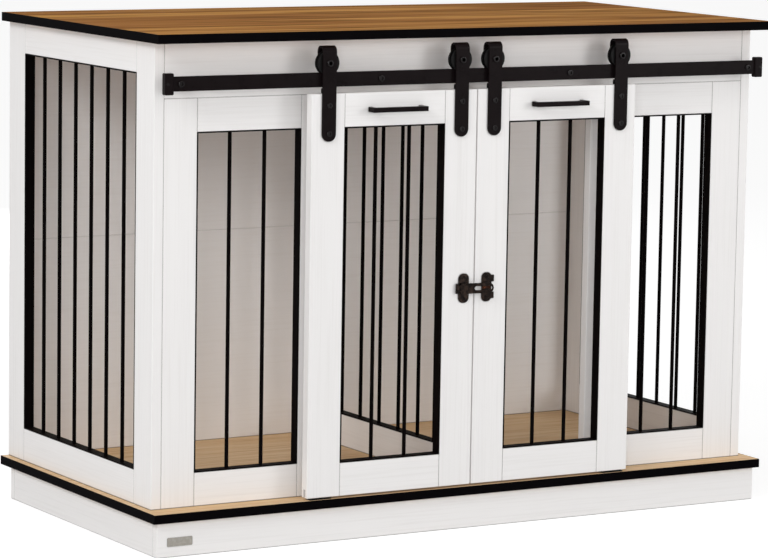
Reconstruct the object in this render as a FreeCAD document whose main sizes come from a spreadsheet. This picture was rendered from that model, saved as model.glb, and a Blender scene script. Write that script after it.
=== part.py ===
"""Double pet crate with two sliding barn doors, as a parametric document in millimetres.

The origin is on the floor under the middle of the boards. +X is to the right seen from the front, +Y runs to
the back and +Z is up, so the doors hang in front of the cabinet at negative Y.
"""
import FreeCAD, Part
import os
from enum import IntEnum, auto
from types import SimpleNamespace

import Sketcher

# Driving dimensions, one sheet cell each.
SIZES = {
    # Boards and plinth.
    "board_width": "1200",
    "board_depth": "600",
    "board_thickness": "15",
    "overall_height": "850",
    "edge_band_thickness": "1",
    "plinth_height": "58",
    "plinth_thickness": "15",
    "plinth_front_inset": "7.5",
    "plinth_side_inset": "8.5",
    "plinth_back_inset": "25",
    # Cabinet walls.
    "side_overhang": "15",
    "front_overhang": "43",
    "panel_thickness": "18",
    "edge_ease": "1",
    "side_stile_width": "64",
    "side_top_rail": "53",
    "side_bottom_rail": "57",
    "header_height": "91.5",
    "fixed_panel_width": "313",
    "fixed_stile_width": "60.5",
    "fixed_top_rail": "55.5",
    "fixed_bottom_rail": "56",
    "back_board_thickness": "15",
    "divider_thickness": "18",
    "divider_front_stile": "54",
    "divider_back_stile": "71",
    "divider_top_rail": "53",
    "divider_bottom_rail": "57",
    # Steel grilles.
    "liner_thickness": "2",
    "bar_diameter": "6.5",
    # Doors.
    "door_width": "316",
    "door_thickness": "18",
    "door_standoff": "22",
    "door_floor_gap": "3.3",
    "door_track_gap": "10.7",
    "door_meeting_gap": "2.5",
    "door_stile_width": "62",
    "door_rail_height": "56",
    "guide_side_clearance": "0.7",
    "guide_top_clearance": "2",
    # Track and its fasteners.
    "track_height": "24",
    "track_thickness": "5",
    "track_bolt_end_distance": "30",
    "track_bolt_diameter": "6",
    "track_bolt_head_diameter": "11",
    "track_bolt_head_height": "3",
    "track_bolt_grip": "14",
    "spacer_diameter": "12",
    "end_stop_width": "16",
    "end_stop_lip": "5.5",
    "end_stop_depth": "12",
    "end_stop_wall": "3",
    "end_stop_ease": "1.5",
    # Rollers and hanger straps.
    "roller_tread_diameter": "30",
    "roller_flange_height": "5",
    "roller_flange_thickness": "3.4",
    "roller_groove_clearance": "0.4",
    "roller_rim_ease": "0.8",
    "roller_running_gap": "0.3",
    "axle_diameter": "8",
    "axle_head_diameter": "12",
    "axle_head_height": "3",
    "axle_nut_height": "5",
    "axle_running_clearance": "0.05",
    "strap_width": "25.4",
    "strap_thickness": "3",
    "strap_head_gap": "9.3",
    "strap_roller_clearance": "0.7",
    "strap_bend_set_down": "1.6",
    "strap_bolt_edge_distance": "19.3",
    "strap_bolt_spacing": "46.5",
    "strap_bolt_diameter": "6",
    "strap_bolt_head_diameter": "10",
    "strap_bolt_head_height": "2",
    "strap_nut_height": "3",
    "bolt_clearance": "0.1",
    "stop_clearance": "0.75",
    "disc_edge_distance": "0.5",
    "disc_track_gap": "2.7",
    # Floor guides.
    "guide_length": "40",
    "guide_base_width": "16",
    "guide_base_thickness": "1.8",
    "guide_fin_thickness": "5",
    "guide_fin_engagement": "12",
    # Handles and the easing that all flat metal pieces share.
    "hardware_ease": "0.6",
    "handle_bar": "8",
    "handle_centres": "96",
    "handle_projection": "20",
    # Hasp and turn knob.
    "latch_height": "412.4",
    "latch_plate_height": "49.5",
    "latch_plate_thickness": "2",
    "hasp_plate_width": "20.5",
    "hasp_plate_edge_distance": "10.3",
    "hasp_pin_diameter": "3",
    "hasp_knuckle_lift": "1",
    "hasp_knuckle_diameter": "6",
    "hasp_knuckle_height": "9",
    "hasp_plate_knuckle_height": "3.4",
    "hasp_knuckle_gap": "0.3",
    "hasp_tip_wall": "2.4",
    "hasp_arm_height": "17.5",
    "hasp_arm_thickness": "1.8",
    "hasp_slot_length": "32.5",
    "hasp_slot_clearance": "0.7",
    "hasp_slot_end_clearance": "0.8",
    "hasp_shoulder": "5",
    "hasp_boss_distance": "9",
    "hasp_boss_diameter": "10",
    "hasp_boss_height": "1",
    "hasp_lift_angle": "8.5",
    "staple_plate_width": "19.5",
    "staple_plate_edge_distance": "12.4",
    "staple_ear_width": "4.4",
    "staple_ear_height": "10.8",
    "staple_ear_spacing": "28.8",
    "knob_neck_diameter": "4.2",
    "knob_arm_clearance": "0.4",
    "knob_head_length": "15",
    "knob_head_reach": "11",
    "knob_head_width": "5.2",
    "knob_head_height": "4.2",
    "knob_base_gap": "0.3",
}
SIDE_BAR_COUNT = 6
FRONT_BAR_COUNT = 2
DIVIDER_BAR_COUNT = 5
TRACK_BOLT_COUNT = 4
LATCH_CORNER_SHARE = 0.43
HEAD_RIM_SHARE = 0.4
KNOB_ROUND_SHARE = 0.38
BOSS_TAPER = -35
ORIGIN_INDEX = -1
UP = FreeCAD.Vector(0, 0, 1)
QUARTER_TURN = 90


class Point(IntEnum):
    """The point of a sketch item that a constraint takes."""

    START = auto()
    END = auto()
    CENTRE = auto()


class Length:
    """A length that keeps its number and the sheet formula that gives it."""

    def __init__(self, number, formula):
        self.number = number
        self.formula = formula

    def __add__(self, other):
        return Length(self.number + other.number, f"({self.formula} + {other.formula})")

    def __sub__(self, other):
        return Length(self.number - other.number, f"({self.formula} - {other.formula})")

    def __mul__(self, ratio):
        return Length(self.number * ratio, f"({self.formula} * {ratio})")

    def __truediv__(self, ratio):
        return Length(self.number / ratio, f"({self.formula} / {ratio})")

    def __neg__(self):
        return self * -1


class Corner:
    """A corner of an outline; with a centre, an arc about that centre runs on to the next corner."""

    def __init__(self, x, y, centre=None, clockwise=False):
        self.x = x
        self.y = y
        self.centre = centre
        self.clockwise = clockwise


doc = FreeCAD.newDocument("PetCrate")
sheet = doc.addObject("Spreadsheet::Sheet", "Sizes")
for row, (alias, text) in enumerate(SIZES.items(), start=1):
    sheet.set(f"A{row}", alias)
    sheet.set(f"B{row}", text)
    sheet.setAlias(f"B{row}", alias)
doc.recompute()
size = SimpleNamespace(**{alias: Length(float(text), f"Sizes.{alias}") for alias, text in SIZES.items()})
zero = Length(0.0, "0")
nodes = []


# Sketch and feature helpers.
def new_body(label):
    """Start a body that carries the given label."""
    body = doc.addObject("PartDesign::Body", label)
    body.Label = label
    return body


def place(item, x, y, z, turn=0):
    """Put an object at a bound place, turned about the upright axis."""
    item.Placement = FreeCAD.Placement(FreeCAD.Vector(x.number, y.number, z.number), FreeCAD.Rotation(UP, turn))
    for axis, length in zip("xyz", (x, y, z)):
        item.setExpression(f"Placement.Base.{axis}", length.formula)


def keep(item):
    """List an object as a finished node and hand it back."""
    nodes.append(item)
    return item


def group(label, bodies):
    """Join separate bodies of one kind in a node without fusing them."""
    compound = doc.addObject("Part::Compound", label)
    compound.Label = label
    compound.Links = bodies
    return keep(compound)


def new_sketch(body, role, offset=zero):
    """Start a sketch on one of the body's origin planes, moved along its normal by the offset."""
    plane = next(item for item in body.Origin.OriginFeatures if item.Role == role)
    sketch = body.newObject("Sketcher::SketchObject", f"{body.Label}_sketch")
    sketch.AttachmentSupport = [(plane, "")]
    sketch.MapMode = "FlatFace"
    sketch.setExpression("AttachmentOffset.Base.z", offset.formula)
    return sketch


def pin(sketch, item, vertex, x=None, y=None):
    """Tie a point of the sketch to the origin with bound distances."""
    for kind, length in (("DistanceX", x), ("DistanceY", y)):
        if length is not None:
            constraint = Sketcher.Constraint(kind, ORIGIN_INDEX, Point.START, item, vertex, length.number)
            index = sketch.addConstraint(constraint)
            sketch.setExpression(f"Constraints[{index}]", length.formula)


def flat(x, y):
    """Make the sketch point of two lengths."""
    return FreeCAD.Vector(x.number, y.number, 0)


def draw_arc(sketch, first, last):
    """Draw the arc from one corner to the next and tell which of its ends is which."""
    centre = flat(*first.centre)
    begin, finish = (last, first) if first.clockwise else (first, last)
    start_arm = flat(begin.x, begin.y) - centre
    end_arm = flat(finish.x, finish.y) - centre
    across = FreeCAD.Vector(1, 0, 0)
    angles = []
    for arm in (start_arm, end_arm):
        angle = across.getAngle(arm)
        angles.append(angle if arm.y >= 0 else -angle)
    circle = Part.Circle(centre, UP, start_arm.Length)
    item = sketch.addGeometry(Part.ArcOfCircle(circle, angles[0], angles[1]), False)
    wide = abs(last.x.number - first.x.number) >= abs(last.y.number - first.y.number)
    if wide:
        pin(sketch, item, Point.CENTRE, y=first.centre[1])
    else:
        pin(sketch, item, Point.CENTRE, x=first.centre[0])
    return (item, Point.END, Point.START) if first.clockwise else (item, Point.START, Point.END)


def draw_loop(sketch, corners):
    """Draw a closed outline of straight lines and arcs through bound corners."""
    followers = corners[1:] + corners[:1]
    items = []
    for first, last in zip(corners, followers):
        if first.centre is None:
            line = Part.LineSegment(flat(first.x, first.y), flat(last.x, last.y))
            items.append((sketch.addGeometry(line, False), Point.START, Point.END))
        else:
            items.append(draw_arc(sketch, first, last))
    for (item, _, tail), (follower, head, _) in zip(items, items[1:] + items[:1]):
        sketch.addConstraint(Sketcher.Constraint("Coincident", item, tail, follower, head))
    for (item, head, _), corner in zip(items, corners):
        pin(sketch, item, head, corner.x, corner.y)


def draw_rectangle(sketch, left, right, low, high):
    """Draw a rectangle between bound edges."""
    draw_loop(sketch, [Corner(left, low), Corner(right, low), Corner(right, high), Corner(left, high)])


def draw_circle(sketch, x, y, diameter):
    """Draw a circle with a bound centre and diameter."""
    item = sketch.addGeometry(Part.Circle(flat(x, y), UP, diameter.number / 2), False)
    index = sketch.addConstraint(Sketcher.Constraint("Diameter", item, diameter.number))
    sketch.setExpression(f"Constraints[{index}]", diameter.formula)
    pin(sketch, item, Point.CENTRE, x, y)


def draw_rounded_rectangle(sketch, left, right, low, high, corner):
    """Draw a rectangle with round corners of a bound radius."""
    draw_loop(sketch, [
        Corner(left + corner, low),
        Corner(right - corner, low, (right - corner, low + corner)),
        Corner(right, low + corner),
        Corner(right, high - corner, (right - corner, high - corner)),
        Corner(right - corner, high),
        Corner(left + corner, high, (left + corner, high - corner)),
        Corner(left, high - corner),
        Corner(left, low + corner, (left + corner, low + corner)),
    ])


def draw_level_slot(sketch, left, right, height):
    """Draw a level slot with round ends about the sketch's X axis."""
    radius = height / 2
    draw_loop(sketch, [
        Corner(left + radius, -radius),
        Corner(right - radius, -radius, (right - radius, zero)),
        Corner(right - radius, radius),
        Corner(left + radius, radius, (left + radius, zero)),
    ])


def pad(body, sketch, length, reverse=False, taper=0):
    """Raise a sketch into a solid by a bound length, drawn in by an angle below zero."""
    feature = body.newObject("PartDesign::Pad", f"{body.Label}_pad")
    feature.Profile = sketch
    feature.setExpression("Length", length.formula)
    feature.Reversed = reverse
    feature.TaperAngle = taper
    return feature


def pocket(body, sketch, length, reverse=False):
    """Cut a sketch out of the body by a bound length."""
    feature = body.newObject("PartDesign::Pocket", f"{body.Label}_pocket")
    feature.Profile = sketch
    feature.setExpression("Length", length.formula)
    feature.Reversed = reverse
    return feature


def revolve(body, sketch):
    """Turn a sketch once round its upright axis."""
    feature = body.newObject("PartDesign::Revolution", f"{body.Label}_turn")
    feature.Profile = sketch
    feature.ReferenceAxis = (sketch, ["V_Axis"])
    return feature


def ease_edges(body, base, amount):
    """Break every edge of the feature so far by a bound chamfer."""
    feature = body.newObject("PartDesign::Chamfer", f"{body.Label}_ease")
    feature.Base = (base, [""])
    feature.UseAllEdges = True
    feature.setExpression("Size", amount.formula)
    return feature


def round_front(body, base, radius):
    """Round the edges of the feature's foremost face by a bound radius."""
    doc.recompute()
    front = base.Shape.BoundBox.YMin
    feature = body.newObject("PartDesign::Fillet", f"{body.Label}_round")
    feature.Base = (base, [
        f"Edge{number}" for number, edge in enumerate(base.Shape.Edges, start=1)
        if abs(edge.BoundBox.YMax - front) < Part.Precision.confusion()
    ])
    feature.setExpression("Radius", radius.formula)
    return feature


# Levels and planes that several pieces share.
half_width = size.board_width / 2 - size.side_overhang
front_face = size.front_overhang - size.board_depth / 2
back_face = size.board_depth / 2
floor_level = size.plinth_height + size.board_thickness
top_level = size.overall_height - size.board_thickness
wall_height = top_level - floor_level
inner_half = half_width - size.panel_thickness
front_inner = front_face + size.panel_thickness
back_inner = back_face - size.back_board_thickness
header_low = top_level - size.header_height
door_back = front_face - size.door_standoff
door_front = door_back - size.door_thickness
door_middle = door_front + size.door_thickness / 2
door_low = floor_level + size.door_floor_gap
roller_groove = size.track_thickness + size.roller_groove_clearance * 2
roller_width = roller_groove + size.roller_flange_thickness * 2
roller_rim = size.roller_tread_diameter / 2 + size.roller_flange_height
strap_inner = roller_width / 2 + size.strap_roller_clearance
strap_outer = strap_inner + size.strap_thickness
strap_rise = roller_rim - size.strap_bend_set_down
axle_level = top_level - size.strap_head_gap - strap_outer - strap_rise
track_top = axle_level - size.roller_tread_diameter / 2 - size.roller_running_gap
track_low = track_top - size.track_height
track_middle = door_front + strap_inner
track_level = track_low + size.track_height / 2
door_top = track_low - size.door_track_gap
door_height = door_top - door_low
door_inner = size.door_meeting_gap / 2
door_outer = door_inner + size.door_width
outer_hanger = door_outer - size.door_stile_width / 2
inner_hanger = door_inner + size.door_stile_width / 2
stop_face = half_width - size.end_stop_width
door_travel = stop_face - size.stop_clearance - roller_rim - outer_hanger
strap_bolt_levels = [
    door_top - size.strap_bolt_edge_distance,
    door_top - size.strap_bolt_edge_distance - size.strap_bolt_spacing,
]
last_track_bolt = half_width - size.track_bolt_end_distance
track_bolt_places = [
    last_track_bolt * (index * 2 / (TRACK_BOLT_COUNT - 1) - 1) for index in range(TRACK_BOLT_COUNT)
]
guide_groove_width = size.guide_fin_thickness + size.guide_side_clearance * 2
guide_groove_depth = size.guide_fin_engagement + size.guide_top_clearance


# Flat boards.
def boards(label, spot, depth, rectangles, ease=size.edge_ease, holes=(), hole_diameter=None, groove=False):
    """Make upright boards from rectangles in the front plane of their own place.

    The boards run back from that plane by the depth. Holes go right through, and the groove runs along the
    bottom edge, in the middle of the depth.
    """
    body = new_body(label)
    outline = new_sketch(body, "XZ_Plane")
    for left, right, low, high in rectangles:
        draw_rectangle(outline, left, right, low, high)
    ease_edges(body, pad(body, outline, depth, reverse=True), ease)
    if holes:
        drilling = new_sketch(body, "XZ_Plane")
        for x, z in holes:
            draw_circle(drilling, x, z, hole_diameter)
        pocket(body, drilling, depth)
    if groove:
        channel = new_sketch(body, "XY_Plane")
        draw_rectangle(
            channel,
            min((item[0] for item in rectangles), key=lambda length: length.number),
            max((item[1] for item in rectangles), key=lambda length: length.number),
            depth / 2 - guide_groove_width / 2,
            depth / 2 + guide_groove_width / 2,
        )
        pocket(body, channel, guide_groove_depth, reverse=True)
    place(body, *spot)
    return keep(body)


def grille(label, spot, depth, left, right, low, high, bar_count):
    """Make a steel grille: a strip frame that lines its opening, with round upright bars in a row."""
    body = new_body(label)
    liner = new_sketch(body, "XZ_Plane")
    draw_rectangle(liner, left, right, low, high)
    draw_rectangle(
        liner,
        left + size.liner_thickness,
        right - size.liner_thickness,
        low + size.liner_thickness,
        high - size.liner_thickness,
    )
    pad(body, liner, depth, reverse=True)
    pitch = (right - left) / (bar_count + 1)
    bar = new_sketch(body, "XY_Plane", low)
    draw_circle(bar, left + pitch, depth / 2, size.bar_diameter)
    first_bar = pad(body, bar, high - low)
    row = body.newObject("PartDesign::LinearPattern", f"{label}_row")
    row.Originals = [first_bar]
    row.Direction = (bar, ["H_Axis"])
    row.setExpression("Length", (pitch * (bar_count - 1)).formula)
    row.Occurrences = bar_count
    body.Tip = row
    place(body, *spot)
    return keep(body)


def framed_wall(prefix, spot, width, high, depth, first_stile, last_stile, top_rail, bottom_rail, bar_count):
    """Make a fixed wall: two stiles, two rails between them, and the grille in the opening."""
    opening_end = width - last_stile
    boards(f"{prefix}_stiles", spot, depth, [(zero, first_stile, zero, high), (opening_end, width, zero, high)])
    boards(f"{prefix}_rails", spot, depth, [
        (first_stile, opening_end, zero, bottom_rail),
        (first_stile, opening_end, high - top_rail, high),
    ])
    grille(
        f"{prefix}_grille", spot, depth, first_stile, opening_end, bottom_rail, high - top_rail, bar_count
    )


def banded_board(prefix, low):
    """Make a level board with a thin edge band all round."""
    half_length = size.board_width / 2
    half_depth = size.board_depth / 2
    band_inner_x = half_length - size.edge_band_thickness
    band_inner_y = half_depth - size.edge_band_thickness
    core = new_body(f"{prefix}_board")
    core_outline = new_sketch(core, "XY_Plane")
    draw_rectangle(core_outline, -band_inner_x, band_inner_x, -band_inner_y, band_inner_y)
    pad(core, core_outline, size.board_thickness)
    place(core, zero, zero, low)
    keep(core)
    band = new_body(f"{prefix}_edge_band")
    band_outline = new_sketch(band, "XY_Plane")
    draw_rectangle(band_outline, -half_length, half_length, -half_depth, half_depth)
    draw_rectangle(band_outline, -band_inner_x, band_inner_x, -band_inner_y, band_inner_y)
    pad(band, band_outline, size.board_thickness)
    place(band, zero, zero, low)
    keep(band)


def plinth():
    """Make the plinth: full width front and back boards, ends between them and a bar under the middle."""
    half_length = size.board_width / 2 - size.plinth_side_inset
    front = size.plinth_front_inset - size.board_depth / 2
    back = size.board_depth / 2 - size.plinth_back_inset
    inner_front = front + size.plinth_thickness
    inner_back = back - size.plinth_thickness
    long_board = [(-half_length, half_length, zero, size.plinth_height)]
    boards("plinth_front", (zero, front, zero), size.plinth_thickness, long_board)
    boards("plinth_back", (zero, inner_back, zero), size.plinth_thickness, long_board)
    boards("plinth_ends", (zero, inner_front, zero), inner_back - inner_front, [
        (-half_length, size.plinth_thickness - half_length, zero, size.plinth_height),
        (half_length - size.plinth_thickness, half_length, zero, size.plinth_height),
    ])
    boards("plinth_crossbar", (zero, inner_front, zero), inner_back - inner_front, [
        (-size.plinth_thickness / 2, size.plinth_thickness / 2, zero, size.plinth_height),
    ])


def cabinet_walls():
    """Make the side walls, fixed front panels, header, back and divider."""
    side_length = back_face - front_face
    side_sizes = (
        side_length, wall_height, size.panel_thickness, size.side_stile_width, size.side_stile_width,
        size.side_top_rail, size.side_bottom_rail, SIDE_BAR_COUNT,
    )
    framed_wall("left_side", (-half_width, back_face, floor_level, -QUARTER_TURN), *side_sizes)
    framed_wall("right_side", (half_width, front_face, floor_level, QUARTER_TURN), *side_sizes)
    front_sizes = (
        size.fixed_panel_width, header_low - floor_level, size.panel_thickness,
        size.fixed_stile_width, size.fixed_stile_width, size.fixed_top_rail, size.fixed_bottom_rail,
        FRONT_BAR_COUNT,
    )
    framed_wall("left_front", (-inner_half, front_face, floor_level), *front_sizes)
    framed_wall("right_front", (inner_half - size.fixed_panel_width, front_face, floor_level), *front_sizes)
    framed_wall(
        "divider", (-size.divider_thickness / 2, back_inner, floor_level, -QUARTER_TURN),
        back_inner - front_inner, wall_height, size.divider_thickness, size.divider_back_stile,
        size.divider_front_stile, size.divider_top_rail, size.divider_bottom_rail, DIVIDER_BAR_COUNT,
    )
    header = [(-inner_half, inner_half, zero, size.header_height)]
    header_holes = [(x, track_level - header_low) for x in track_bolt_places]
    hole_diameter = size.track_bolt_diameter + size.bolt_clearance * 2
    boards(
        "header_rail", (zero, front_face, header_low), size.panel_thickness, header,
        holes=header_holes, hole_diameter=hole_diameter,
    )
    half_back = [(-inner_half, inner_half, zero, wall_height / 2)]
    boards("back_panel_lower", (zero, back_inner, floor_level), size.back_board_thickness, half_back)
    upper_spot = (zero, back_inner, floor_level + wall_height / 2)
    boards("back_panel_upper", upper_spot, size.back_board_thickness, half_back)


# Turned pieces, each drawn as a half outline: X is the radius and Y runs along the axis to the back.
def headed_bolt(label, spot, shank, head, head_height, grip, nut_height=zero):
    """Make a bolt with a low bevelled head in front of its seat and, if it has one, a nut behind the grip."""
    body = new_body(label)
    outline = new_sketch(body, "XY_Plane")
    rim = head_height * HEAD_RIM_SHARE
    outer = head / 2
    corners = [
        Corner(zero, -head_height),
        Corner(outer - rim, -head_height),
        Corner(outer, rim - head_height),
        Corner(outer, zero),
        Corner(shank / 2, zero),
        Corner(shank / 2, grip),
    ]
    if nut_height.number:
        corners += [
            Corner(outer, grip),
            Corner(outer, grip + nut_height),
            Corner(zero, grip + nut_height),
        ]
    else:
        corners.append(Corner(zero, grip))
    draw_loop(outline, corners)
    revolve(body, outline)
    place(body, *spot)
    return body


def roller(label, x):
    """Make a grooved roller with a bored hub and eased rims."""
    body = new_body(label)
    outline = new_sketch(body, "XY_Plane")
    bore = size.axle_diameter / 2 + size.axle_running_clearance
    tread = size.roller_tread_diameter / 2
    rim = roller_rim
    side = roller_width / 2
    groove = roller_groove / 2
    ease = size.roller_rim_ease
    draw_loop(outline, [
        Corner(bore, -side),
        Corner(rim - ease, -side),
        Corner(rim, ease - side),
        Corner(rim, -groove - ease),
        Corner(rim - ease, -groove),
        Corner(tread, -groove),
        Corner(tread, groove),
        Corner(rim - ease, groove),
        Corner(rim, groove + ease),
        Corner(rim, side - ease),
        Corner(rim - ease, side),
        Corner(bore, side),
    ])
    revolve(body, outline)
    place(body, x, track_middle, axle_level)
    return keep(body)


def track():
    """Make the flat track bar with its spacers, bolts and end stops."""
    bar_end = half_width - size.end_stop_wall
    hole_diameter = size.track_bolt_diameter + size.bolt_clearance * 2
    track_front = track_middle - size.track_thickness / 2
    track_back = track_middle + size.track_thickness / 2
    boards(
        "track_bar", (zero, track_front, track_low), size.track_thickness,
        [(-bar_end, bar_end, zero, size.track_height)], ease=size.hardware_ease,
        holes=[(x, size.track_height / 2) for x in track_bolt_places], hole_diameter=hole_diameter,
    )
    spacers = []
    bolts = []
    for index, x in enumerate(track_bolt_places):
        spacer = new_body(f"track_spacer_{index}")
        ring = new_sketch(spacer, "XZ_Plane")
        draw_circle(ring, zero, zero, size.spacer_diameter)
        draw_circle(ring, zero, zero, hole_diameter)
        pad(spacer, ring, front_face - track_back, reverse=True)
        place(spacer, x, track_back, track_level)
        spacers.append(spacer)
        bolts.append(headed_bolt(
            f"track_bolt_{index}", (x, track_front, track_level), size.track_bolt_diameter,
            size.track_bolt_head_diameter, size.track_bolt_head_height,
            front_face - track_front + size.track_bolt_grip,
        ))
    group("track_spacers", spacers)
    group("track_bolts", bolts)
    group("track_end_stops", [end_stop("left_end_stop", -1), end_stop("right_end_stop", 1)])


def end_stop(label, side):
    """Make the cap that closes one end of the track and stops the outer roller."""
    body = new_body(label)
    block = new_sketch(body, "YZ_Plane")
    half_depth = size.end_stop_depth / 2
    half_height = size.track_height / 2 + size.end_stop_lip
    draw_rectangle(block, -half_depth, half_depth, -half_height, half_height)
    ease_edges(body, pad(body, block, size.end_stop_width, reverse=side < 0), size.end_stop_ease)
    seat = new_sketch(body, "YZ_Plane")
    half_bar = size.track_thickness / 2 + size.bolt_clearance
    half_bar_height = size.track_height / 2 + size.bolt_clearance
    draw_rectangle(seat, -half_bar, half_bar, -half_bar_height, half_bar_height)
    pocket(body, seat, size.end_stop_width - size.end_stop_wall, reverse=side > 0)
    place(body, stop_face * side, track_middle, track_level)
    return body


# Door hardware.
def hanger(label, x):
    """Make a strap that is bolted to the door, bends over the roller and carries both ends of its axle."""
    body = new_body(label)
    half = size.strap_width / 2
    inner = strap_inner
    outer = strap_outer
    rise = strap_rise
    bolt_drops = [axle_level - level for level in strap_bolt_levels]
    bend = new_sketch(body, "YZ_Plane", -half)
    draw_loop(bend, [
        Corner(inner, rise),
        Corner(outer, rise, (zero, rise)),
        Corner(-outer, rise),
        Corner(-inner, rise, (zero, rise), clockwise=True),
    ])
    pad(body, bend, size.strap_width)
    for depth, drop in ((outer, bolt_drops[-1]), (-inner, zero)):
        leg = new_sketch(body, "XZ_Plane", depth - size.strap_thickness)
        draw_loop(leg, [
            Corner(-half, -drop, (zero, -drop)),
            Corner(half, -drop),
            Corner(half, rise),
            Corner(-half, rise),
        ])
        pad(body, leg, size.strap_thickness)
    axle_hole = new_sketch(body, "XZ_Plane", -outer)
    draw_circle(axle_hole, zero, zero, size.axle_diameter + size.bolt_clearance * 2)
    pocket(body, axle_hole, outer * 2, reverse=True)
    bolt_holes = new_sketch(body, "XZ_Plane", inner)
    for drop in bolt_drops:
        draw_circle(bolt_holes, zero, -drop, size.strap_bolt_diameter + size.bolt_clearance * 2)
    pocket(body, bolt_holes, size.strap_thickness, reverse=True)
    place(body, x, track_middle, axle_level)
    return body


def handle(label, x):
    """Make a square bar pull that stands on two legs."""
    body = new_body(label)
    outline = new_sketch(body, "XY_Plane", -size.handle_bar / 2)
    inner = size.handle_centres / 2 - size.handle_bar / 2
    outer = size.handle_centres / 2 + size.handle_bar / 2
    bar_back = size.handle_bar - size.handle_projection
    draw_loop(outline, [
        Corner(-outer, zero),
        Corner(-outer, -size.handle_projection),
        Corner(outer, -size.handle_projection),
        Corner(outer, zero),
        Corner(inner, zero),
        Corner(inner, bar_back),
        Corner(-inner, bar_back),
        Corner(-inner, zero),
    ])
    ease_edges(body, pad(body, outline, size.handle_bar), size.hardware_ease)
    place(body, x, door_front, door_top - size.door_rail_height / 2)
    return keep(body)


def disc(label, x):
    """Make the disc on the door's top edge that keeps the rollers from jumping off the track."""
    body = new_body(label)
    outline = new_sketch(body, "XY_Plane")
    draw_circle(outline, zero, zero, size.door_thickness - size.disc_edge_distance * 2)
    ease_edges(body, pad(body, outline, track_low - size.disc_track_gap - door_top), size.hardware_ease)
    place(body, x, door_middle, door_top)
    return body


def door(side_name, side):
    """Make one door with its grille, handle, hangers, bolts and discs."""
    prefix = f"{side_name}_door"
    left_edge = door_inner if side > 0 else -door_outer
    spot = (left_edge, door_front, door_low)
    stile = size.door_stile_width
    rail = size.door_rail_height
    width = size.door_width
    hole_diameter = size.strap_bolt_diameter + size.bolt_clearance * 2
    boards(
        f"{prefix}_stiles", spot, size.door_thickness,
        [(zero, stile, zero, door_height), (width - stile, width, zero, door_height)],
        holes=[(x, z - door_low) for x in (stile / 2, width - stile / 2) for z in strap_bolt_levels],
        hole_diameter=hole_diameter, groove=True,
    )
    boards(
        f"{prefix}_bottom_rail", spot, size.door_thickness, [(stile, width - stile, zero, rail)], groove=True
    )
    top_rail = [(stile, width - stile, door_height - rail, door_height)]
    boards(f"{prefix}_top_rail", spot, size.door_thickness, top_rail)
    grille(
        f"{prefix}_grille", spot, size.door_thickness, stile, width - stile, rail, door_height - rail,
        FRONT_BAR_COUNT,
    )
    handle(f"{prefix}_handle", (door_inner + width / 2) * side)
    strap_front = door_front - size.strap_thickness
    straps, axles, bolts, discs = [], [], [], []
    for name, place_x in (("outer", outer_hanger), ("inner", inner_hanger)):
        x = place_x * side
        straps.append(hanger(f"{prefix}_{name}_hanger", x))
        axles.append(headed_bolt(
            f"{prefix}_{name}_axle", (x, strap_front, axle_level), size.axle_diameter, size.axle_head_diameter,
            size.axle_head_height, strap_outer * 2, size.axle_nut_height,
        ))
        for level_name, level in zip(("upper", "lower"), strap_bolt_levels):
            bolts.append(headed_bolt(
                f"{prefix}_{name}_{level_name}_bolt", (x, strap_front, level), size.strap_bolt_diameter,
                size.strap_bolt_head_diameter, size.strap_bolt_head_height,
                size.strap_thickness + size.door_thickness, size.strap_nut_height,
            ))
        discs.append(disc(f"{prefix}_{name}_disc", x))
        roller(f"{prefix}_{name}_roller", x)
    group(f"{prefix}_hangers", straps)
    group(f"{prefix}_axles", axles)
    group(f"{prefix}_hanger_bolts", bolts)
    group(f"{prefix}_discs", discs)


def floor_guide(label, side):
    """Make the guide on the floor whose fin runs in the groove under a door."""
    body = new_body(label)
    profile = new_sketch(body, "YZ_Plane", -size.guide_length / 2)
    half_base = size.guide_base_width / 2
    half_fin = size.guide_fin_thickness / 2
    fin_top = size.door_floor_gap + size.guide_fin_engagement
    draw_loop(profile, [
        Corner(-half_base, zero),
        Corner(half_base, zero),
        Corner(half_base, size.guide_base_thickness),
        Corner(half_fin, size.guide_base_thickness),
        Corner(half_fin, fin_top - half_fin, (zero, fin_top - half_fin)),
        Corner(-half_fin, fin_top - half_fin),
        Corner(-half_fin, size.guide_base_thickness),
        Corner(-half_base, size.guide_base_thickness),
    ])
    pad(body, profile, size.guide_length)
    place(body, (door_outer + door_inner + door_travel) / 2 * side, door_middle, floor_level)
    return body


# Hasp on the left door and turn knob on the right one.
hasp_pin_offset = size.hasp_knuckle_diameter / 2 + size.hasp_knuckle_gap
hasp_pin_standoff = size.hasp_knuckle_diameter / 2 + size.hasp_knuckle_lift
hasp_pin_x = -door_inner - size.hasp_plate_edge_distance - size.hasp_plate_width - hasp_pin_offset
hasp_pin_y = door_front - hasp_pin_standoff
knob_x = door_inner + size.staple_plate_edge_distance + size.staple_plate_width / 2
knob_short_side = size.knob_head_length - size.knob_head_reach
slot_end = knob_x - hasp_pin_x + knob_short_side + size.hasp_slot_end_clearance
slot_height = size.knob_head_width + size.hasp_slot_clearance * 2
pin_hole = size.hasp_pin_diameter + size.axle_running_clearance * 2


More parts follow.
